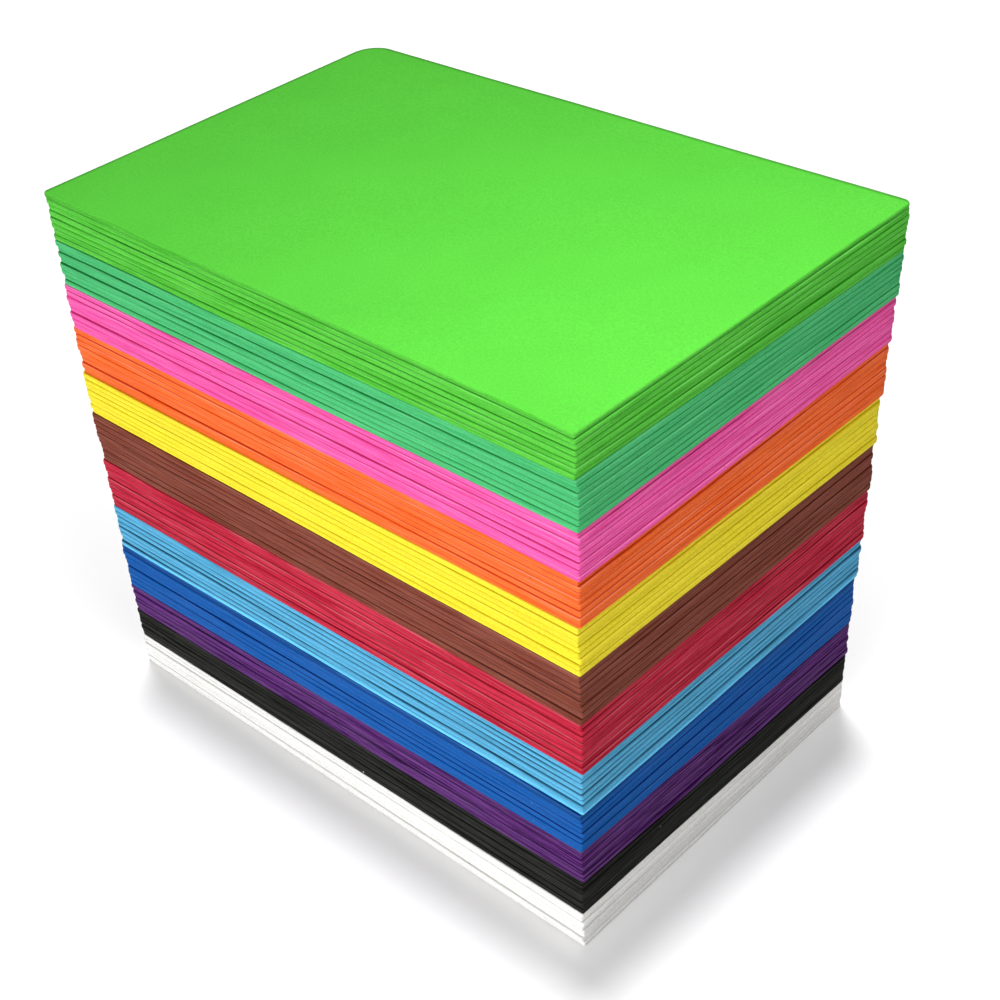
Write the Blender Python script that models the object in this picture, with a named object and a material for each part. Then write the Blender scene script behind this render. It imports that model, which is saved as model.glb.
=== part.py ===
"""A squared stack of craft foam sheets in twelve colours, modelled in Blender at real size.

Each colour's pile of sheets is one solid, with the gaps between its sheets cut into its faces,
and the sheet on top of the stack is a solid of its own. Units are metres and +Z is up.
The stack stands on the plane z = 0, with the middle of its lowest sheet at the origin.
"""

import math
import random
from collections import namedtuple

import bmesh
import bpy
from mathutils import Matrix

MM = 0.001

# One sheet, seen from above with its long side along X
SHEET_LENGTH = 215.9 * MM
SHEET_WIDTH = 139.7 * MM
FRONT_LEFT_RADIUS = 2.0 * MM
FRONT_RIGHT_RADIUS = 0.6 * MM
BACK_RIGHT_RADIUS = 4.0 * MM
BACK_LEFT_RADIUS = 9.0 * MM

# The pile of one colour. The pitch is one sheet with the crease above it, before each colour's own difference
SHEETS_PER_COLOUR = 8
SHEET_PITCH = 2.0 * MM
GAP_HEIGHT = 0.3 * MM
GAP_DEPTH = 4.0 * MM

# How far a sheet lies from its neighbours, because the stack is squared by hand
SHEET_JOG = 0.3 * MM
SHEET_TURN = math.radians(0.1)
JOG_SEED = 12

# The finish of foam
FOAM_ROUGHNESS = 0.85
FOAM_METALLIC = 0.0

# The length of one flat on a rounded corner, and how near a vertex counts as being at a corner
FLAT_LENGTH = 2.5 * MM
NEAR = 0.05 * MM

# A colour's pile: how much its sheets are thicker than SHEET_PITCH, and how it lies on the pile below
Colour = namedtuple("Colour", "name red green blue thicker shift_x shift_y turn_deg")
COLOURS_FROM_BELOW = (
    Colour("white", 0.93, 0.93, 0.92, -0.38 * MM, 0.0 * MM, 0.0 * MM, 0.0),
    Colour("black", 0.030, 0.030, 0.029, -0.35 * MM, 0.3 * MM, 0.1 * MM, 0.0),
    Colour("purple", 0.105, 0.013, 0.200, -0.41 * MM, 0.4 * MM, 0.1 * MM, 0.0),
    Colour("blue", 0.010, 0.127, 0.584, 0.31 * MM, 0.6 * MM, 0.0 * MM, -0.03),
    Colour("light_blue", 0.110, 0.510, 0.850, 0.13 * MM, 0.8 * MM, 0.0 * MM, -0.05),
    Colour("red", 0.680, 0.017, 0.060, 0.43 * MM, 0.8 * MM, 0.1 * MM, -0.07),
    Colour("brown", 0.240, 0.052, 0.038, 0.26 * MM, 0.7 * MM, 0.0 * MM, -0.1),
    Colour("yellow", 1.000, 0.950, 0.045, 0.09 * MM, 0.7 * MM, 0.1 * MM, -0.11),
    Colour("orange", 1.000, 0.200, 0.045, 0.18 * MM, 0.9 * MM, 0.0 * MM, -0.1),
    Colour("pink", 1.000, 0.155, 0.510, -0.08 * MM, 1.0 * MM, 0.0 * MM, -0.12),
    Colour("teal", 0.065, 0.580, 0.190, -0.11 * MM, 0.8 * MM, 0.1 * MM, -0.15),
    Colour("light_green", 0.110, 0.720, 0.045, -0.09 * MM, 0.5 * MM, 0.1 * MM, -0.21),
)

# Which corner each radius rounds, as the signs of X and Y
CORNERS = (
    (-1, -1, FRONT_LEFT_RADIUS),
    (1, -1, FRONT_RIGHT_RADIUS),
    (1, 1, BACK_RIGHT_RADIUS),
    (-1, 1, BACK_LEFT_RADIUS),
)


def clear_scene():
    """Removes what a new Blender file starts with."""
    for obj in list(bpy.data.objects):
        bpy.data.objects.remove(obj, do_unlink=True)


def new_collection(name):
    """A collection of this name, linked to the scene."""
    collection = bpy.data.collections.new(name)
    bpy.context.scene.collection.children.link(collection)
    return collection


def foam_material(colour):
    """Matte foam of one colour."""
    material = bpy.data.materials.new(colour.name + "_foam")
    material.use_nodes = True
    shader = material.node_tree.nodes["Principled BSDF"]
    shader.inputs["Base Color"].default_value = (colour.red, colour.green, colour.blue, 1.0)
    shader.inputs["Roughness"].default_value = FOAM_ROUGHNESS
    shader.inputs["Metallic"].default_value = FOAM_METALLIC
    return material


def add_box(bm, length, width, height):
    """Adds a box centred on the origin to a bmesh and returns its vertices."""
    verts = bmesh.ops.create_cube(bm, size=1.0)["verts"]
    bmesh.ops.scale(bm, vec=(length, width, height), verts=verts)
    return verts


def pitch_of(colour):
    """The height of one sheet of a colour with the crease above it."""
    return SHEET_PITCH + colour.thicker


def round_corners(bm):
    """Rounds the four upright edges of the one box in a bmesh, each by its own radius."""
    for sign_x, sign_y, radius in CORNERS:
        corner = (sign_x * SHEET_LENGTH / 2, sign_y * SHEET_WIDTH / 2)
        upright = [
            edge
            for edge in bm.edges
            if all(math.dist(vert.co.xy, corner) < NEAR for vert in edge.verts)
        ]
        arc = radius * math.pi / 2
        flats = 1 + math.ceil(arc / FLAT_LENGTH)
        bmesh.ops.bevel(bm, geom=upright, offset=radius, segments=flats, profile=0.5, affect="EDGES")


def sheet_mesh(thickness):
    """The mesh of one sheet with rounded corners, centred on the origin."""
    bm = bmesh.new()
    add_box(bm, SHEET_LENGTH, SHEET_WIDTH, thickness)
    round_corners(bm)
    mesh = bpy.data.meshes.new("sheet")
    bm.to_mesh(mesh)
    bm.free()
    return mesh


def sheet_pile(colour, places):
    """One mesh of separate sheets of a colour, each moved by its own place in the pile."""
    sheet = sheet_mesh(pitch_of(colour) - GAP_HEIGHT)
    bm = bmesh.new()
    for place in places:
        known = len(bm.verts)
        bm.from_mesh(sheet)
        bm.verts.ensure_lookup_table()
        bmesh.ops.transform(bm, matrix=place, verts=bm.verts[known:])
    mesh = bpy.data.meshes.new(colour.name + "_sheets")
    bm.to_mesh(mesh)
    bm.free()
    bpy.data.meshes.remove(sheet)
    return mesh


def core_mesh(colour, count):
    """The inside of a pile behind the gaps, from the middle of its lowest sheet to that of its highest."""
    bm = bmesh.new()
    height = (count - 1) * pitch_of(colour)
    verts = add_box(bm, SHEET_LENGTH - 2 * GAP_DEPTH, SHEET_WIDTH - 2 * GAP_DEPTH, height)
    middle = (count * pitch_of(colour) - GAP_HEIGHT) / 2
    bmesh.ops.translate(bm, vec=(0, 0, middle), verts=verts)
    mesh = bpy.data.meshes.new(colour.name + "_core")
    bm.to_mesh(mesh)
    bm.free()
    return mesh


def sheet_places(colour, count, first, jogs):
    """Where each of a pile's sheets lies, counted from the pile's lowest sheet, numbered first."""
    places = []
    for index in range(first, first + count):
        height = index * pitch_of(colour) + (pitch_of(colour) - GAP_HEIGHT) / 2
        shift = (jogs.uniform(-SHEET_JOG, SHEET_JOG), jogs.uniform(-SHEET_JOG, SHEET_JOG), height)
        turn = jogs.uniform(-SHEET_TURN, SHEET_TURN)
        places.append(Matrix.Translation(shift) @ Matrix.Rotation(turn, 4, "Z"))
    return places


def place_object(name, mesh, collection, origin, turn):
    """An object of this mesh in a collection, standing at an origin and turned about Z."""
    obj = bpy.data.objects.new(name, mesh)
    obj.location = origin
    obj.rotation_euler.z = turn
    collection.objects.link(obj)
    return obj


def build_layer(colour, count, origin, turn, jogs, parts, cutters, material):
    """A colour's pile as one solid: its sheets joined by the core behind their gaps."""
    places = sheet_places(colour, count, 0, jogs)
    sheets = place_object(colour.name + "_sheets", sheet_pile(colour, places), cutters, origin, turn)
    sheets.hide_render = True
    sheets.display_type = "WIRE"
    layer = place_object(colour.name + "_layer", core_mesh(colour, count), parts, origin, turn)
    layer.data.materials.append(material)
    union = layer.modifiers.new("sheets", "BOOLEAN")
    union.operation = "UNION"
    union.solver = "EXACT"
    union.object = sheets


def build_top_sheet(colour, origin, turn, jogs, parts, material):
    """The highest sheet of the stack, a solid of its own on top of its colour's pile."""
    places = sheet_places(colour, 1, SHEETS_PER_COLOUR - 1, jogs)
    name = colour.name + "_top_sheet"
    sheet = place_object(name, sheet_pile(colour, places), parts, origin, turn)
    sheet.data.materials.append(material)


def main():
    """Builds the stack from the floor up."""
    clear_scene()
    parts = new_collection("eva_foam_sheet_stack")
    cutters = new_collection("cutters")
    jogs = random.Random(JOG_SEED)
    x = y = z = turn = 0.0
    for colour in COLOURS_FROM_BELOW:
        x += colour.shift_x
        y += colour.shift_y
        turn += math.radians(colour.turn_deg)
        material = foam_material(colour)
        is_top = colour is COLOURS_FROM_BELOW[-1]
        count = SHEETS_PER_COLOUR - 1 if is_top else SHEETS_PER_COLOUR
        build_layer(colour, count, (x, y, z), turn, jogs, parts, cutters, material)
        if is_top:
            build_top_sheet(colour, (x, y, z), turn, jogs, parts, material)
        z += SHEETS_PER_COLOUR * pitch_of(colour)


main()
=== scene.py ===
"""Craft foam sheets of twelve colours, squared up by hand in one stack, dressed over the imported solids."""

import math
from collections import namedtuple

import bmesh
import bpy
from bpy.props import FloatProperty, FloatVectorProperty, IntProperty, PointerProperty, StringProperty
from mathutils import Matrix, Vector, noise
from mathutils.geometry import convex_hull_2d


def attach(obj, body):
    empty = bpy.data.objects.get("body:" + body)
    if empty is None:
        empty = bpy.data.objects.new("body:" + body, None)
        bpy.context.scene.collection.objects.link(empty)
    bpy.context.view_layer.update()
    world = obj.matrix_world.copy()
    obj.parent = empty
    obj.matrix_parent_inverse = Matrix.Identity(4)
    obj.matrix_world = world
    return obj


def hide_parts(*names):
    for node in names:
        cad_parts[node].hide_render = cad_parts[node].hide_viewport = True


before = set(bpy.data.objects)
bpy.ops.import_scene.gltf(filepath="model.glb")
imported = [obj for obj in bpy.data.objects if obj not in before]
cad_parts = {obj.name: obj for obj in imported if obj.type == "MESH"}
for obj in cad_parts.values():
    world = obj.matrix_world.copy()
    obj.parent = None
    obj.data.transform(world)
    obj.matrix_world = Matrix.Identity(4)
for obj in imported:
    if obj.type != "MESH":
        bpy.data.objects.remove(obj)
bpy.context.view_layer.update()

bl_info = {
    "name": "Foam Sheet Stack",
    "version": (1, 0, 0),
    "blender": (4, 5, 0),
    "location": "3D View > Sidebar > Foam Stack",
    "description": "Stacks craft foam sheets of twelve colours and sets them in a studio",
    "category": "Add Mesh",
}

MM = 0.001

# From the floor up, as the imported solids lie
COLOURS = (
    "white", "black", "purple", "blue", "light_blue", "red",
    "brown", "yellow", "orange", "pink", "teal", "light_green",
)

# Two corners of a solid nearer than this are at one height, or at one place along an edge
NEAR = 0.05 * MM

# Seeds the noise that the cut edges wander by, so that each run makes the same stack
WAVE_SEED = 12

# How far it is from one wave to the next, seen from above: of a cut edge, of its ripples, and of a crease
WAVE_LENGTH, RIPPLE_LENGTH, SEAM_LENGTH = 55 * MM, 6 * MM, 48 * MM

# How far apart in the noise two sheets and two creases are for each mm of height, so that none look alike
SHEET_STRIDE, SEAM_STRIDE = 3.7, 1.9

# How tightly two sheets meet, which sets how dark the painted shade in their crease is, where 1 is shut: on
# the whole, how much that comes and goes, and the least
TIGHT_MEAN, TIGHT_SWING, TIGHT_LEAST = 0.74, 0.9, 0.3

# How much of that is left where one colour meets the next
TIGHT_BETWEEN_COLOURS = 0.4

# How fast the painted shade in a crease fades over the rim below it, which faces the light, and over the rim
# above it
FADE_BELOW, FADE_ABOVE = 3.0, 0.9

# The part of an upper rim that gets a painted highlight, as it faces the light from above, from its lower
# end (0) to the crease (1)
HIGHLIGHT_START, HIGHLIGHT_END = 0.2, 0.95

# How strong the painted highlights are on the whole, and how much they come and go along the rim
HIGHLIGHT_MEAN, HIGHLIGHT_SWING = 0.6, 1.2

# The share of the rim's width that the die has cut
CUT_SHARE = 0.9

# How bright the top sheet's cut rim is painted beside its face: a painted shade on its rounded rim
TOP_RIM_SHADE_TONE = 0.84

# How much the dye's brightness differs from sheet to sheet
SHEET_SWING = 0.05

# One sheet as the frame holds it: its underside and top, the underside of the sheet above, its place, and
# the radii of its corners, which go round from the front left one to the one at the photo's back
Sheet = namedtuple("Sheet", "node bottom top ceiling x y turn length width radii")


def levels(mesh):
    """The heights at which a solid has corners, from below."""
    found = []
    for height in sorted(vert.co.z for vert in mesh.vertices):
        if not found or height - found[-1] > NEAR:
            found.append(height)
    return found


def outline(mesh, height):
    """The corners of a solid's outline at one height, seen from above."""
    flat = {(round(v.co.x, 7), round(v.co.y, 7)) for v in mesh.vertices if abs(v.co.z - height) < NEAR}
    flat = [Vector(point) for point in sorted(flat)]
    return [flat[index] for index in convex_hull_2d(flat)]


def read_sheet(node, mesh, bottom, top):
    """Measures one sheet of a solid: its size, its corner radii, and how it lies."""
    ring = outline(mesh, top)
    sides = [after - here for here, after in zip(ring, ring[1:] + ring[:1])]
    longest = max(sides, key=lambda side: side.length)
    if longest.x < 0:
        longest = -longest
    turn = math.atan2(longest.y, longest.x)
    along = Vector((math.cos(turn), math.sin(turn)))
    across = Vector((-along.y, along.x))
    spots = [(point.dot(along), point.dot(across)) for point in ring]
    left, right = min(a for a, b in spots), max(a for a, b in spots)
    front, back = min(b for a, b in spots), max(b for a, b in spots)
    middle = along * (left + right) / 2 + across * (front + back) / 2
    front_row = [a for a, b in spots if b - front < NEAR]
    back_row = [a for a, b in spots if back - b < NEAR]
    radii = (min(front_row) - left, right - max(front_row), right - max(back_row), min(back_row) - left)
    return Sheet(node, bottom, top, top, middle.x, middle.y, turn, right - left, back - front, radii)


def read_stack():
    """Every sheet of the stack from the floor up."""
    sheets = []
    for node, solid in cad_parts.items():
        heights = levels(solid.data)
        for bottom, top in zip(heights[0::2], heights[1::2]):
            sheets.append(read_sheet(node, solid.data, bottom, top))
    sheets.sort(key=lambda sheet: sheet.bottom)
    upper = [sheet.bottom for sheet in sheets[1:]] + [sheets[-1].top]
    return [sheet._replace(ceiling=height) for sheet, height in zip(sheets, upper)]


STACK = read_stack()
FIRST = STACK[0]

# The foam is uneven, so a colour's top lies higher or lower at one corner than the solids have it. These
# are its rises in mm at the front, left and right corners of the photo, for the floor and then each colour
RISES = (
    (0.0, 0.0, 0.0), (1.9, -0.1, -1.0), (3.3, -0.8, -1.2), (3.9, -1.5, -0.2), (1.1, -1.6, 0.9),
    (1.2, -1.0, 0.4), (0.9, -1.1, 0.6), (0.5, -0.1, 0.0), (0.5, -1.1, 0.5), (-0.8, -1.1, 1.9),
    (-0.7, -1.0, 2.0), (0.1, -0.8, 1.1), (-1.6, 0.2, 0.3),
)
COLOUR_TOPS = [0.0] + [max(s.ceiling for s in STACK if s.node.startswith(name + "_l")) for name in COLOURS]
COLOUR_TOPS[-1] = STACK[-1].top


def rise(level, x, y):
    """How far a crease at one level of the stack rises above it at a place, seen from above."""
    above = next(index for index, top in enumerate(COLOUR_TOPS) if index and level < top + NEAR)
    low, high = COLOUR_TOPS[above - 1], COLOUR_TOPS[above]
    share = (level - low) / (high - low)
    right, near = 0.5 + x / FIRST.length, 0.5 - y / FIRST.width
    corners = [a + (b - a) * share for a, b in zip(RISES[above - 1], RISES[above])]
    weights = (right * near, (1 - right) * near, right * (1 - near))
    return sum(height * weight for height, weight in zip(corners, weights)) * MM


def linear(code):
    """The linear colour of an sRGB hex code."""
    parts = [int(code[at:at + 2], 16) / 255 for at in (0, 2, 4)]
    return tuple(c / 12.92 if c <= 0.04045 else ((c + 0.055) / 1.055) ** 2.4 for c in parts)


def dye(label, code):
    """A colour setting for one colour of foam."""
    note = "The dye that runs all through the " + label.lower() + " sheets"
    return FloatVectorProperty(
        name=label, description=note, default=linear(code), subtype="COLOR", size=3, min=0.0, max=1.0
    )


class FoamDyes(bpy.types.PropertyGroup):
    """The colours of the foam."""

    white: dye("White", "F2F1EE")
    black: dye("Black", "242521")
    purple: dye("Purple", "5A2670")
    blue: dye("Blue", "1459A6")
    light_blue: dye("Light blue", "57AED8")
    red: dye("Red", "BE213E")
    brown: dye("Brown", "814334")
    yellow: dye("Yellow", "EDDC32")
    orange: dye("Orange", "F56C2D")
    pink: dye("Pink", "F25AA9")
    teal: dye("Teal", "4AB772")
    light_green: dye("Light green", "55BE3B")


class FoamSheetSizes(bpy.types.PropertyGroup):
    """The size of a sheet and how evenly it was cut."""

    length: FloatProperty(
        name="Length", description="The sheet's long side", default=FIRST.length, unit="LENGTH"
    )
    width: FloatProperty(
        name="Width", description="The sheet's short side", default=FIRST.width, unit="LENGTH"
    )
    right_corner: FloatProperty(
        name="Right corner", description="The radius of the corner at the photo's right",
        default=2.8 * MM, unit="LENGTH",
    )
    rim: FloatProperty(
        name="Rim", description="How far the die rounds the foam's cut rims over",
        default=0.45 * MM, unit="LENGTH",
    )
    rim_steps: IntProperty(
        name="Rim steps", description="Flats round each rim", default=3, min=1, max=6
    )
    margin: FloatProperty(
        name="Margin", description="The flat strip just inside the rim, where the shading settles",
        default=0.2 * MM, unit="LENGTH",
    )
    edge_wave: FloatProperty(
        name="Edge wave", description="How far a cut edge wanders off its straight line",
        default=0.22 * MM, unit="LENGTH",
    )
    edge_ripple: FloatProperty(
        name="Edge ripple", description="The short ripples left by the cutting die",
        default=0.05 * MM, unit="LENGTH",
    )
    thickness_wave: FloatProperty(
        name="Thickness wave", default=0.2 * MM, unit="LENGTH",
        description="How far a crease rises and falls where the foam is unevenly thick",
    )


class FoamStudio(bpy.types.PropertyGroup):
    """The studio that the stack stands in."""

    paper: FloatVectorProperty(
        name="Floor", description="The white paper underneath", default=linear("FCFCFC"),
        subtype="COLOR", size=3, min=0.0, max=1.0,
    )
    floor_side: FloatProperty(
        name="Floor side", description="The side of the square of paper", default=14.0, unit="LENGTH"
    )
    lens: FloatProperty(
        name="Lens", description="The camera's focal length in mm on a 36 mm wide sensor", default=59.869
    )
    eye: FloatVectorProperty(
        name="Eye", description="Where the camera stands", default=(0.32901, -0.31135, 0.40309),
        subtype="TRANSLATION", size=3,
    )
    aim: FloatVectorProperty(
        name="Aim", description="The turn of the camera about X, Y and Z",
        default=tuple(math.radians(a) for a in (50.373, 5.082, 43.93)), subtype="EULER", size=3,
    )
    shift: FloatVectorProperty(
        name="Shift", description="How far the picture's middle lies off the lens's axis",
        default=(0.06, 0.12), size=2,
    )
    overhead: FloatProperty(
        name="Overhead", description="Strength of the main light above", default=1.84
    )
    near: FloatProperty(
        name="Near", description="Power of the panel over the front corner in watts", default=0.59
    )
    side: FloatProperty(
        name="Side", description="Power of the low panel at the front in watts", default=9.7
    )
    wash: FloatProperty(
        name="Wash", description="Power of the floor lamps behind in watts a square metre", default=1.1
    )
    haze: FloatProperty(
        name="Haze", description="Strength of the light from all round", default=0.195
    )


# A Mix node's colour sockets, by number, because its sockets for plain numbers have the same names
COLOUR_A, COLOUR_B, MIXED = 6, 7, 2


def add(tree, kind, settings=None, links=None):
    """Adds one node to a tree, with its settings by name and its inputs by value or another socket."""
    made = tree.nodes.new(kind)
    for name, value in (settings or {}).items():
        setattr(made, name, value)
    for name, value in (links or {}).items():
        if isinstance(value, bpy.types.NodeSocket):
            tree.links.new(value, made.inputs[name])
        else:
            made.inputs[name].default_value = value
    return made


def new_material(name):
    """An empty material and its node tree."""
    material = bpy.data.materials.new(name)
    material.use_nodes = True
    material.node_tree.nodes.clear()
    return material, material.node_tree


# A painted highlight, on an upper rim or a pale streak, is this much brighter than the foam, and whitened by
# a share of its brightest part and a little more, both times the colour's streak
HIGHLIGHT_GAIN, HIGHLIGHT_BRIGHT_SHARE, HIGHLIGHT_WHITE = 1.15, 0.45, 0.09

# The power that purifies the colour of the painted shade in a crease, the light that comes out of it
CREASE_PURITY = 1.35


def die_marks(tree, streak, cut):
    """How strongly the die's drag marks show on a cut edge: its pale ones, painted in the highlight colour,
    and its deep ones, painted in the crease shade colour.
    """
    lay = add(tree, "ShaderNodeAttribute", {"attribute_name": "lay"}).outputs["Vector"]
    # The marks run along the sheet, about 0.4 mm tall and 20 mm long
    along = add(
        tree, "ShaderNodeMapping", {}, {"Vector": lay, "Scale": (0.02, 0.02, 1.0)}
    ).outputs["Vector"]
    drag = add(
        tree, "ShaderNodeTexNoise", {"noise_dimensions": "3D"},
        {"Vector": along, "Scale": 1 / (0.4 * MM), "Detail": 2.0, "Roughness": 0.6},
    ).outputs["Fac"]
    # The high parts of the noise are the pale marks and the low parts the deep ones: real drag marks, drawn
    # with painted highlight and painted shade
    pale = add(
        tree, "ShaderNodeMapRange", {},
        {"Value": drag, "From Min": 0.50, "From Max": 0.62, "To Min": 0.0, "To Max": 0.6 * streak},
    ).outputs["Result"]
    deep = add(
        tree, "ShaderNodeMapRange", {},
        {"Value": drag, "From Min": 0.38, "From Max": 0.50, "To Min": min(1.0, 2 * streak), "To Max": 0.0},
    ).outputs["Result"]
    return [
        add(tree, "ShaderNodeMath", {"operation": "MULTIPLY"}, {0: mark, 1: cut}).outputs["Value"]
        for mark in (pale, deep)
    ]


def far_rim_shade(tree):
    """Painted shade along the top sheet's two far rims, as if they curled down out of the light over the
    last 2 mm: how bright the top sheet stays there.
    """
    far_rim = add(tree, "ShaderNodeAttribute", {"attribute_name": "far_rim"}).outputs["Vector"]
    # The corner between the two rims is round
    corner = FIRST.radii[-1]
    inward = add(
        tree, "ShaderNodeVectorMath", {"operation": "SUBTRACT"}, {0: (corner, corner, 0.0), 1: far_rim}
    ).outputs["Vector"]
    outside = add(
        tree, "ShaderNodeVectorMath", {"operation": "MAXIMUM"}, {0: inward, 1: (0.0, 0.0, 0.0)}
    ).outputs["Vector"]
    nearness = add(tree, "ShaderNodeVectorMath", {"operation": "LENGTH"}, {0: outside}).outputs["Value"]
    return add(
        tree, "ShaderNodeMapRange", {},
        {
            "Value": nearness, "From Min": corner - 2.0 * MM, "From Max": corner - 0.5 * MM,
            "To Min": 1.0, "To Max": 0.45,
        },
    ).outputs["Result"]


def tone_and_rim_shade(tree, where, grain, pores, cut):
    """How bright the foam is from place to place, as a factor: the dye's own tone, and painted shade at the
    top sheet's rims.
    """
    # The dye and the foam's density drift over about 25 mm
    drift = add(
        tree, "ShaderNodeTexNoise", {"noise_dimensions": "3D"},
        {"Vector": where, "Scale": 1 / (25 * MM), "Detail": 2.0, "Roughness": 0.5},
    ).outputs["Fac"]
    grain_tone = add(
        tree, "ShaderNodeMapRange", {},
        {"Value": grain, "From Min": 0.3, "From Max": 0.7, "To Min": 0.89, "To Max": 1.11},
    ).outputs["Result"]
    drift_tone = add(
        tree, "ShaderNodeMapRange", {},
        {"Value": drift, "From Min": 0.3, "From Max": 0.7, "To Min": 0.975, "To Max": 1.025},
    ).outputs["Result"]
    pore_tone = add(
        tree, "ShaderNodeMapRange", {},
        {"Value": pores, "From Min": 0.35, "From Max": 0.65, "To Min": 0.87, "To Max": 1.11},
    ).outputs["Result"]
    face_tone = add(
        tree, "ShaderNodeMath", {"operation": "MULTIPLY"}, {0: grain_tone, 1: drift_tone}
    ).outputs["Value"]
    tone = add(
        tree, "ShaderNodeMix", {"data_type": "FLOAT"}, {"Factor": cut, "A": face_tone, "B": pore_tone}
    ).outputs["Result"]
    # The sheets' own tone with the painted shade on the top sheet's cut rim, then the painted shade at its
    # far rims
    batch = add(tree, "ShaderNodeAttribute", {"attribute_name": "batch"}).outputs["Fac"]
    for factor in (batch, far_rim_shade(tree)):
        tone = add(
            tree, "ShaderNodeMath", {"operation": "MULTIPLY"}, {0: tone, 1: factor}
        ).outputs["Value"]
    return tone


def crumbs(tree, where, share):
    """Where lint and crumbs of other sheets lie, about 0.5 mm across and 5 mm or more apart."""
    places = add(
        tree, "ShaderNodeTexVoronoi", {"feature": "F1", "voronoi_dimensions": "3D"},
        {"Vector": where, "Scale": 1 / (6 * MM), "Randomness": 1.0},
    )
    speck = add(
        tree, "ShaderNodeMapRange", {"interpolation_type": "SMOOTHSTEP"},
        {
            "Value": places.outputs["Distance"], "From Min": 0.035, "From Max": 0.05,
            "To Min": 1.0, "To Max": 0.0,
        },
    ).outputs["Result"]
    chance = add(tree, "ShaderNodeSeparateColor", {}, {"Color": places.outputs["Color"]}).outputs["Red"]
    kept = add(tree, "ShaderNodeMath", {"operation": "LESS_THAN"}, {0: chance, 1: share}).outputs["Value"]
    return add(tree, "ShaderNodeMath", {"operation": "MULTIPLY"}, {0: speck, 1: kept}).outputs["Value"]


def eva_foam(name, colour, finish_and_shade):
    """Dyed closed-cell EVA foam, skived from a block into sheets and cut out by a die.

    To the eye it is a dull, even colour all the way through, with a fine grain of closed cells on its
    faces. The die drags the cut edges into fine level streaks. Shade in the creases and highlights on the
    upper rims are painted into the colour.
    """
    material, tree = new_material(name)
    where = add(tree, "ShaderNodeTexCoord").outputs["Object"]
    cut = add(tree, "ShaderNodeAttribute", {"attribute_name": "cut_edge"}).outputs["Fac"]
    # The real cells are 0.1 to 0.2 mm wide, finer than a pixel. They are drawn at 0.6 mm so that they show
    grain = add(
        tree, "ShaderNodeTexNoise", {"noise_dimensions": "3D"},
        {"Vector": where, "Scale": 1 / (0.6 * MM), "Detail": 3.0, "Roughness": 0.65},
    ).outputs["Fac"]
    # Pores cut open by the die, about 0.7 mm long and pressed flat
    flattened = add(
        tree, "ShaderNodeMapping", {}, {"Vector": where, "Scale": (1.0, 1.0, 2.0)}
    ).outputs["Vector"]
    pores = add(
        tree, "ShaderNodeTexNoise", {"noise_dimensions": "3D"},
        {"Vector": flattened, "Scale": 1 / (0.7 * MM), "Detail": 2.0, "Roughness": 0.7},
    ).outputs["Fac"]
    plain = add(
        tree, "ShaderNodeMix", {"data_type": "RGBA", "blend_type": "MULTIPLY"},
        {"Factor": 1.0, COLOUR_A: (*colour, 1.0), COLOUR_B: tone_and_rim_shade(tree, where, grain, pores, cut)},
    ).outputs[MIXED]

    # Painted highlight: the upper rim of each sheet, which faces the light above, and the tops of the die's
    # streaks are painted paler than the foam
    pale_marks, deep_marks = die_marks(tree, finish_and_shade.streak, cut)
    crest = add(tree, "ShaderNodeAttribute", {"attribute_name": "crest"}).outputs["Fac"]
    highlight_share = add(
        tree, "ShaderNodeMath", {"operation": "MAXIMUM"}, {0: pale_marks, 1: crest}
    ).outputs["Value"]
    whitening = finish_and_shade.streak * (HIGHLIGHT_BRIGHT_SHARE * max(colour) + HIGHLIGHT_WHITE)
    pale = [min(1.0, part * HIGHLIGHT_GAIN + whitening) for part in colour]
    highlighted = add(
        tree, "ShaderNodeMix", {"data_type": "RGBA"},
        {"Factor": highlight_share, COLOUR_A: plain, COLOUR_B: (*pale, 1.0)},
    ).outputs[MIXED]

    # Painted shade: the creases and the deep streaks are painted darker and purer, like light that has met
    # the dye many times
    crease = add(tree, "ShaderNodeAttribute", {"attribute_name": "crease"}).outputs["Fac"]
    shade = add(
        tree, "ShaderNodeMath", {"operation": "MAXIMUM"}, {0: deep_marks, 1: crease}
    ).outputs["Value"]
    deep = [finish_and_shade.depth * part ** CREASE_PURITY for part in colour]
    shaded = add(
        tree, "ShaderNodeMix", {"data_type": "RGBA"},
        {"Factor": shade, COLOUR_A: highlighted, COLOUR_B: (*deep, 1.0)},
    ).outputs[MIXED]
    face = add(
        tree, "ShaderNodeMix", {"data_type": "RGBA"},
        {
            "Factor": crumbs(tree, where, finish_and_shade.crumb_share),
            COLOUR_A: shaded, COLOUR_B: (*linear(finish_and_shade.crumb), 1.0),
        },
    ).outputs[MIXED]

    relief = add(
        tree, "ShaderNodeMix", {"data_type": "FLOAT"}, {"Factor": cut, "A": grain, "B": pores}
    ).outputs["Result"]
    bump = add(
        tree, "ShaderNodeBump", {}, {"Height": relief, "Strength": 0.35, "Distance": 0.10 * MM}
    ).outputs["Normal"]
    dull = add(
        tree, "ShaderNodeMapRange", {},
        {"Value": grain, "From Min": 0.3, "From Max": 0.7, "To Min": 0.80, "To Max": 0.94},
    ).outputs["Result"]
    shader = add(
        tree, "ShaderNodeBsdfPrincipled", {},
        {
            "Base Color": face, "Roughness": dull, "Normal": bump,
            "IOR": 1.49, "Specular IOR Level": 0.08, "Metallic": 0.0,
        },
    )
    add(tree, "ShaderNodeOutputMaterial", {}, {"Surface": shader.outputs["BSDF"]})
    return material


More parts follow.
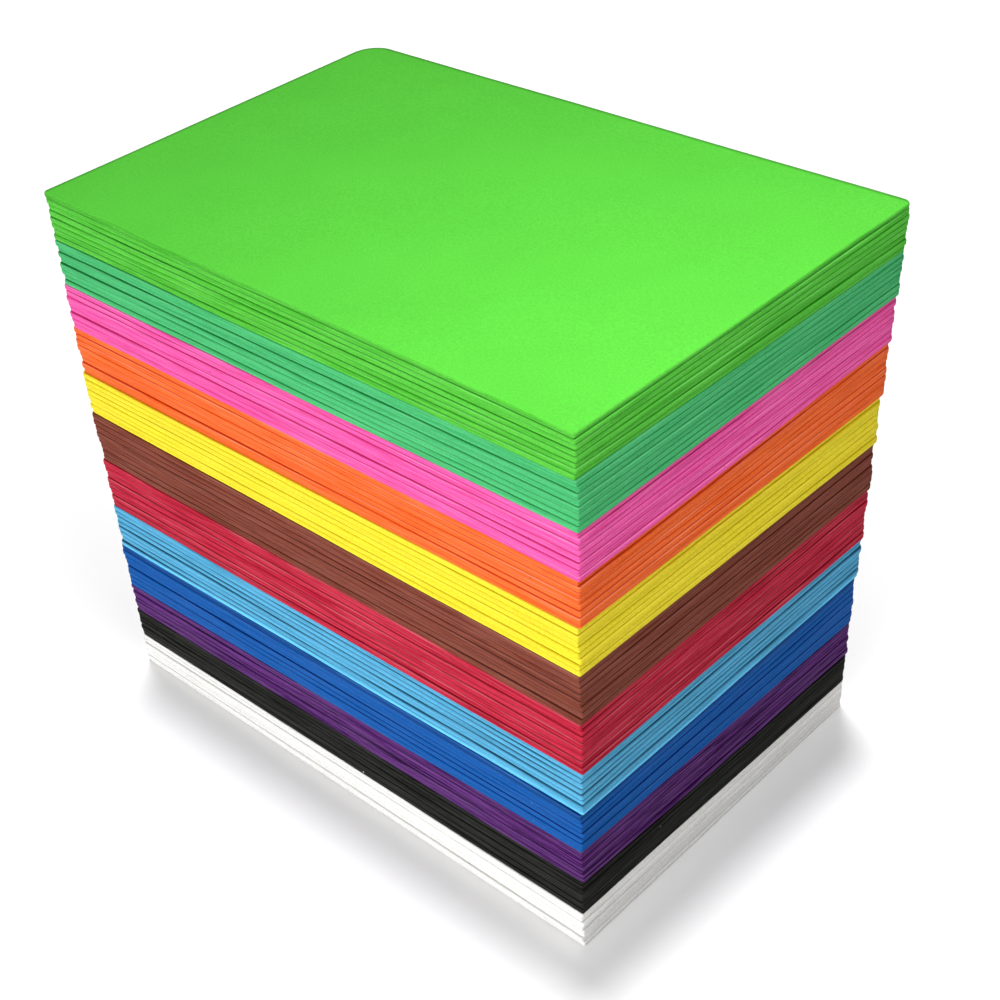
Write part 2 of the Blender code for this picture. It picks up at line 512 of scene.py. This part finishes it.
def background_paper(colour):
    """Uncoated white background paper off a roll, which looks flat and has no gloss."""
    material, tree = new_material("background_paper")
    where = add(tree, "ShaderNodeTexCoord").outputs["Object"]
    # Paper fibres are far finer than this. They are drawn at 2 mm as the faintest cloud
    fibres = add(
        tree, "ShaderNodeTexNoise", {"noise_dimensions": "3D"}, {"Vector": where, "Scale": 1 / (2 * MM)}
    ).outputs["Fac"]
    tone = add(
        tree, "ShaderNodeMapRange", {}, {"Value": fibres, "To Min": 0.99, "To Max": 1.0}
    ).outputs["Result"]
    white = add(
        tree, "ShaderNodeMix", {"data_type": "RGBA", "blend_type": "MULTIPLY"},
        {"Factor": 1.0, COLOUR_A: (*colour, 1.0), COLOUR_B: tone},
    ).outputs[MIXED]
    shader = add(
        tree, "ShaderNodeBsdfPrincipled", {},
        {"Base Color": white, "Roughness": 0.9, "IOR": 1.5, "Specular IOR Level": 0.1},
    )
    add(tree, "ShaderNodeOutputMaterial", {}, {"Surface": shader.outputs["BSDF"]})
    return material


# A colour's finish and painted shade: how bright the painted shade in its creases is, how strong the die's
# streaks are on it, the colour of the crumbs on it, and the share of the places that hold one
FinishAndShade = namedtuple("FinishAndShade", "depth streak crumb crumb_share")
FINISHES_AND_SHADES = {
    "white": FinishAndShade(0.94, 0.04, "B9B7B2", 0.05),
    "black": FinishAndShade(0.08, 0.36, "D8D8D4", 0.10),
    "purple": FinishAndShade(0.46, 0.44, "B8A8C4", 0.08),
    "blue": FinishAndShade(0.88, 0.12, "4F86C4", 0.06),
    "light_blue": FinishAndShade(0.26, 0.18, "2E6E94", 0.06),
    "red": FinishAndShade(0.54, 0.32, "7A1A2B", 0.06),
    "brown": FinishAndShade(0.68, 0.28, "C09A8C", 0.07),
    "yellow": FinishAndShade(0.84, 0.09, "B8A32A", 0.05),
    "orange": FinishAndShade(0.78, 0.24, "A8481E", 0.06),
    "pink": FinishAndShade(0.72, 0.27, "8E2E68", 0.10),
    "teal": FinishAndShade(0.78, 0.20, "1F7A48", 0.06),
    "light_green": FinishAndShade(0.72, 0.23, "3C9A2C", 0.03),
}

# Sheets of another batch, by colour and place in the pile from below, and how bright their dye came out
ODD_SHEETS = {("light_blue", 0): 1.45, ("blue", 7): 0.56, ("purple", 5): 1.25, ("black", 2): 1.3}

# Colours whose sheets meet less closely, so that the painted shade of their creases spreads wider. 1 is as
# close as the others
CLOSENESS = {"light_blue": 0.2, "black": 0.4, "purple": 0.55}

# The mesh that all the sheets are copies of
BLANK = "sheet_blank"

# A sheet's straight edges are cut into steps about this long, so that they can wander
EDGE_STEP = 5 * MM

# The section of a rim, where 0.5 is a quarter of a circle and less cuts further in
RIM_PROFILE = 0.42

# Two faces that meet at less than this are shaded as one round surface
SMOOTH_ANGLE = math.radians(50)


def pick(mesh, kind, test):
    """In edit mode, selects the "edges" or the "faces" that pass a test, and nothing else."""
    bm = bmesh.from_edit_mesh(mesh)
    for part in [*bm.faces, *bm.edges, *bm.verts]:
        part.select_set(False)
    for part in getattr(bm, kind):
        if test(part):
            part.select_set(True)
    bmesh.update_edit_mesh(mesh)


def reach(edge):
    """How far an edge reaches along X, Y and Z."""
    start, end = (vert.co for vert in edge.verts)
    return Vector([abs(b - a) for a, b in zip(start, end)])


def model_blank(sizes):
    """Models one sheet with rounded corners and rims, flat on the origin."""
    thick = FIRST.ceiling - FIRST.bottom
    half = Vector((sizes.length / 2, sizes.width / 2, thick / 2))
    bpy.ops.object.select_all(action="DESELECT")
    bpy.ops.mesh.primitive_cube_add(size=1.0, scale=half * 2)
    blank = bpy.context.object
    bpy.ops.object.transform_apply(location=False, rotation=False, scale=True)
    mesh = blank.data
    bpy.ops.object.mode_set(mode="EDIT")

    # The upright corners, then the rims round both faces
    bpy.ops.mesh.select_mode(type="EDGE")
    radii = (*FIRST.radii[:2], sizes.right_corner, FIRST.radii[-1])
    for (sign_x, sign_y), radius in zip(((-1, -1), (1, -1), (1, 1), (-1, 1)), radii):
        corner = Vector((sign_x * half.x, sign_y * half.y))
        pick(mesh, "edges", lambda edge: all((vert.co.xy - corner).length < NEAR for vert in edge.verts))
        steps = 2 + math.ceil(radius / MM)
        bpy.ops.mesh.bevel(offset=radius, segments=steps, profile=0.5, affect="EDGES")
    pick(mesh, "edges", lambda edge: reach(edge).z < NEAR)
    bpy.ops.mesh.bevel(offset=sizes.rim, segments=sizes.rim_steps, profile=RIM_PROFILE, affect="EDGES")

    # The margins, without the faces inside them, so that the cuts go round the sheet and not across it
    bpy.ops.mesh.select_mode(type="FACE")
    pick(mesh, "faces", lambda face: len(face.verts) > 4)
    bpy.ops.mesh.inset(thickness=sizes.margin, use_boundary=True, use_even_offset=True)
    bpy.ops.mesh.delete(type="ONLY_FACE")
    bpy.ops.mesh.select_mode(type="EDGE")
    pick(mesh, "edges", lambda edge: reach(edge).x > half.x)
    bpy.ops.mesh.subdivide(number_cuts=round(sizes.length / EDGE_STEP))
    pick(mesh, "edges", lambda edge: reach(edge).y > half.y)
    bpy.ops.mesh.subdivide(number_cuts=round(sizes.width / EDGE_STEP))
    bpy.ops.mesh.select_all(action="SELECT")
    bpy.ops.mesh.fill_holes(sides=0)
    bpy.ops.mesh.normals_make_consistent(inside=False)
    bpy.ops.object.mode_set(mode="OBJECT")
    mesh.name = BLANK
    mesh.use_fake_user = True
    bpy.data.objects.remove(blank)


def wander(spot, own, sizes):
    """How far a cut edge strays at a spot, seen from above. Each sheet's number gives it other waves."""
    wave = noise.noise_vector(Vector((spot.x / WAVE_LENGTH, spot.y / WAVE_LENGTH, own)))
    ripple = noise.noise_vector(Vector((spot.x / RIPPLE_LENGTH, spot.y / RIPPLE_LENGTH, own)))
    return (
        wave.x * sizes.edge_wave + ripple.x * sizes.edge_ripple,
        wave.y * sizes.edge_wave + ripple.y * sizes.edge_ripple,
    )


def tightness(level, seam):
    """How tightly two sheets meet at a level, which sets how dark the painted shade in their crease is, and
    changes along the crease. 1 is shut.
    """
    # The noise is finer than the one that lifts the crease, and from another place, so they don't match
    swing = TIGHT_SWING * noise.noise(seam * 1.7 + Vector((9, 9, 9)))
    tight = min(1.0, max(TIGHT_LEAST, TIGHT_MEAN + swing))
    if any(abs(level - top) < NEAR for top in COLOUR_TOPS):
        tight *= TIGHT_BETWEEN_COLOURS
    return tight


def lay_sheet(sheet, sizes, tone, closeness):
    """Copies the blank, gives the copy its own thickness, waves and marks, with the painted shade of its
    creases and the painted highlight of its upper rim, and lays it in its place.
    """
    mesh = bpy.data.meshes[BLANK].copy()
    mesh.use_fake_user = False
    thick = FIRST.ceiling - FIRST.bottom
    place = Matrix.Translation((sheet.x, sheet.y, 0)) @ Matrix.Rotation(sheet.turn, 4, "Z")
    own = round(sheet.bottom / MM) * SHEET_STRIDE
    on_top = sheet.ceiling == sheet.top
    under_top = sheet.ceiling == STACK[-1].bottom
    marks = {"crease": [], "crest": [], "cut_edge": [], "batch": []}
    places = {"lay": [], "far_rim": []}
    for vert in mesh.vertices:
        x, y, z = vert.co
        share = z / thick + 0.5
        upper = share > 0.5
        free = upper and on_top
        level = sheet.ceiling if upper else sheet.bottom

        # The copy's corner moves to its place, and strays with the foam
        spot = place @ Vector((x, y, 0))
        stray_x, stray_y = wander(spot, own, sizes)
        spot.x += stray_x
        spot.y += stray_y
        seam = Vector((spot.x / SEAM_LENGTH, spot.y / SEAM_LENGTH, level / MM * SEAM_STRIDE))
        settled = 0.0 if free or level < NEAR else noise.noise(seam) * sizes.thickness_wave
        low, high = (rise(end, spot.x, spot.y) for end in (sheet.bottom, sheet.ceiling))
        flat = sheet.bottom + share * (sheet.ceiling - sheet.bottom)
        spot.z = flat + low + share * (high - low) + settled
        vert.co = spot
        places["lay"].extend((spot.x, spot.y, flat))
        # How far it lies in from the two far rims of the top sheet. 1 m is out of their reach
        far = (sheet.length / 2 + x, sheet.width / 2 - y, 0.0)
        places["far_rim"].extend(far if free else (1.0, 1.0, 0.0))

        # How deep it lies in the crease, from 0 on the face to 1 at the narrowest
        hidden = max(0.0, 1.0 - (0.5 - abs(share - 0.5)) * thick / sizes.rim)
        tight = 1.0 if on_top or (upper and under_top) else tightness(level, seam)
        fade = closeness * (FADE_BELOW if upper else FADE_ABOVE)
        # The painted shade in the crease, strongest at its narrowest
        marks["crease"].append(0.0 if free else tight * hidden ** fade)
        # The painted highlight on the upper rim, which faces the light from above
        highlight_share = 0.0
        if upper and not free and HIGHLIGHT_START < hidden < HIGHLIGHT_END:
            highlight_share = max(0.0, HIGHLIGHT_MEAN + HIGHLIGHT_SWING * noise.noise(seam * 2.3))
        marks["crest"].append(highlight_share)
        cut = min(sheet.length / 2 - abs(x), sheet.width / 2 - abs(y)) < sizes.rim * CUT_SHARE
        marks["cut_edge"].append(1.0 if cut else 0.0)
        # Each sheet's own tone, and on the top sheet's cut rim a painted shade
        marks["batch"].append(tone * TOP_RIM_SHADE_TONE if on_top and cut else tone)
    for name, values in marks.items():
        mesh.attributes.new(name, "FLOAT", "POINT").data.foreach_set("value", values)
    for name, values in places.items():
        mesh.attributes.new(name, "FLOAT_VECTOR", "POINT").data.foreach_set("vector", values)
    mesh.update()
    return mesh


def build_pile(node, colour, sizes):
    """Stacks a node's sheets as one piece, and lets it stand for the node."""
    noise.seed_set(WAVE_SEED)
    name = node.replace("_layer", "_sheets") if node.endswith("_layer") else node + "_foam"
    made = []
    bpy.ops.object.select_all(action="DESELECT")
    for index, sheet in enumerate(s for s in STACK if s.node == node):
        tone = 1.0 + SHEET_SWING * noise.noise(Vector((sheet.bottom / MM, 4.4, 1.3)))
        tone *= ODD_SHEETS.get((colour, index), 1.0)
        laid = bpy.data.objects.new(name, lay_sheet(sheet, sizes, tone, CLOSENESS.get(colour, 1.0)))
        bpy.context.collection.objects.link(laid)
        laid.select_set(True)
        made.append(laid)
    pile = made[0]
    bpy.context.view_layer.objects.active = pile
    if len(made) > 1:
        bpy.ops.object.join()
    bpy.ops.object.shade_smooth_by_angle(angle=SMOOTH_ANGLE)
    pile.data.materials.clear()
    pile.data.materials.append(foam_of(colour))
    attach(pile, "root")
    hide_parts(node)


def foam_of(colour):
    """The foam of one colour, made the first time that it is asked for."""
    name = "eva_foam_" + colour
    if name in bpy.data.materials:
        return bpy.data.materials[name]
    return eva_foam(name, tuple(getattr(bpy.context.scene.foam_dyes, colour)), FINISHES_AND_SHADES[colour])


class FOAM_OT_cut_blank(bpy.types.Operator):
    """Model the one sheet that all the others are copies of."""

    bl_idname = "foam.cut_blank"
    bl_label = "Cut a sheet"

    def execute(self, context):
        model_blank(context.scene.foam_sheet)
        return {"FINISHED"}


class FOAM_OT_stack_colour(bpy.types.Operator):
    """Stack the sheets of one colour."""

    bl_idname = "foam.stack_colour"
    bl_label = "Stack one colour"

    colour: StringProperty(name="Colour", description="The colour of foam to stack", default=COLOURS[0])

    def execute(self, context):
        build_pile(self.colour + "_layer", self.colour, context.scene.foam_sheet)
        return {"FINISHED"}


class FOAM_OT_top_sheet(bpy.types.Operator):
    """Lay the last sheet on top, whose whole face shows."""

    bl_idname = "foam.top_sheet"
    bl_label = "Lay the top sheet"

    def execute(self, context):
        build_pile(COLOURS[-1] + "_top_sheet", COLOURS[-1], context.scene.foam_sheet)
        return {"FINISHED"}


class FOAM_OT_studio(bpy.types.Operator):
    """Set up the paper floor, the lights and the camera."""

    bl_idname = "foam.studio"
    bl_label = "Set up the studio"

    def execute(self, context):
        studio = context.scene.foam_studio
        lay_floor(studio)
        hang_lights(studio)
        place_camera(studio)
        return {"FINISHED"}


def lay_floor(studio):
    """A square of white paper under the stack."""
    bpy.ops.object.select_all(action="DESELECT")
    bpy.ops.mesh.primitive_plane_add(size=studio.floor_side)
    floor = bpy.context.object
    floor.name = "paper_floor"
    floor.data.materials.append(background_paper(tuple(studio.paper)))


def add_light(name, kind, energy, place, target, **settings):
    """Adds a lamp at a place, aimed at a target."""
    lamp = bpy.data.lights.new(name, kind)
    lamp.energy = energy
    for key, value in settings.items():
        setattr(lamp, key, value)
    holder = bpy.data.objects.new(name, lamp)
    holder.location = place
    holder.rotation_euler = (Vector(target) - Vector(place)).to_track_quat("-Z", "Y").to_euler()
    holder.visible_camera = False
    bpy.context.collection.objects.link(holder)


# A low lamp that shines down on the paper behind the stack: its middle, and how long and deep it is
FloorLamp = namedtuple("FloorLamp", "name x y long deep")
FLOOR_LAMPS = (
    FloorLamp("wash_behind", -0.4, 0.74, 1.2, 1.2),
    FloorLamp("wash_left", -0.46, 0.03, 0.6, 0.26),
)
FLOOR_LAMP_HEIGHT = 0.17

# How bright the studio is where the camera sees past the paper
BACKDROP = 0.92


def hang_lights(studio):
    """A wide soft light above, a panel over the front corner, a low panel before the long side, two low
    lamps that shine down on the paper behind, and a haze from all round.
    """
    add_light(
        "overhead", "SUN", studio.overhead, place=(-0.125, 0.165, 1.98), target=(0, 0, 0),
        angle=math.radians(6),
    )
    add_light(
        "near_panel", "AREA", studio.near, place=(0.155, -0.058, 0.40), target=(0.10, -0.025, 0.19),
        shape="SQUARE", size=0.2,
    )
    add_light(
        "side_panel", "AREA", studio.side, place=(0.17, -1.15, 0.16), target=(0.03, 0, 0.09),
        shape="RECTANGLE", size=0.5, size_y=0.45,
    )
    for lamp in FLOOR_LAMPS:
        add_light(
            lamp.name, "AREA", studio.wash * lamp.long * lamp.deep,
            place=(lamp.x, lamp.y, FLOOR_LAMP_HEIGHT), target=(lamp.x, lamp.y, 0.0),
            shape="RECTANGLE", size=lamp.long, size_y=lamp.deep,
        )
    world = bpy.data.worlds.new("studio_haze")
    bpy.context.scene.world = world
    world.use_nodes = True
    tree = world.node_tree
    tree.nodes.clear()
    seen = add(tree, "ShaderNodeLightPath").outputs["Is Camera Ray"]
    strength = add(
        tree, "ShaderNodeMapRange", {}, {"Value": seen, "To Min": studio.haze, "To Max": BACKDROP}
    ).outputs["Result"]
    sky = add(tree, "ShaderNodeBackground", {}, {"Color": (1.0, 1.0, 1.0, 1.0), "Strength": strength})
    add(tree, "ShaderNodeOutputWorld", {}, {"Surface": sky.outputs["Background"]})
    bpy.context.scene.view_settings.view_transform = "Standard"


def place_camera(studio):
    """The photograph's camera: a long lens, held above the front corner."""
    camera = bpy.data.cameras.new("photo_camera")
    camera.lens = studio.lens
    camera.sensor_width = 36.0
    camera.shift_x, camera.shift_y = studio.shift
    camera.clip_start, camera.clip_end = 0.01, 50.0
    holder = bpy.data.objects.new("photo_camera", camera)
    holder.location = studio.eye
    holder.rotation_euler = studio.aim
    bpy.context.collection.objects.link(holder)
    bpy.context.scene.camera = holder


class FOAM_PT_panel(bpy.types.Panel):
    """Lists the steps that build the stack."""

    bl_idname = "FOAM_PT_panel"
    bl_label = "Foam Stack"
    bl_space_type = "VIEW_3D"
    bl_region_type = "UI"
    bl_category = "Foam Stack"

    def draw(self, context):
        scene = context.scene
        column = self.layout.column()
        for group in (scene.foam_sheet, scene.foam_dyes, scene.foam_studio):
            for name in group.__annotations__:
                column.prop(group, name)
        column.operator(FOAM_OT_cut_blank.bl_idname)
        for colour in COLOURS:
            column.operator(FOAM_OT_stack_colour.bl_idname, text="Stack " + colour).colour = colour
        column.operator(FOAM_OT_top_sheet.bl_idname)
        column.operator(FOAM_OT_studio.bl_idname)


CLASSES = (
    FoamDyes, FoamSheetSizes, FoamStudio,
    FOAM_OT_cut_blank, FOAM_OT_stack_colour, FOAM_OT_top_sheet, FOAM_OT_studio, FOAM_PT_panel,
)


def register():
    """Registers the classes and hangs the settings on the scene."""
    for cls in CLASSES:
        bpy.utils.register_class(cls)
    bpy.types.Scene.foam_dyes = PointerProperty(type=FoamDyes)
    bpy.types.Scene.foam_sheet = PointerProperty(type=FoamSheetSizes)
    bpy.types.Scene.foam_studio = PointerProperty(type=FoamStudio)


def unregister():
    """Takes the settings and the classes away again."""
    del bpy.types.Scene.foam_studio
    del bpy.types.Scene.foam_sheet
    del bpy.types.Scene.foam_dyes
    for cls in reversed(CLASSES):
        bpy.utils.unregister_class(cls)


def main():
    """Builds the stack from the floor up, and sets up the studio."""
    register()
    bpy.ops.foam.studio()
    bpy.ops.foam.cut_blank()
    for colour in COLOURS:
        bpy.ops.foam.stack_colour(colour=colour)
    bpy.ops.foam.top_sheet()


if __name__ == "__main__":
    main()
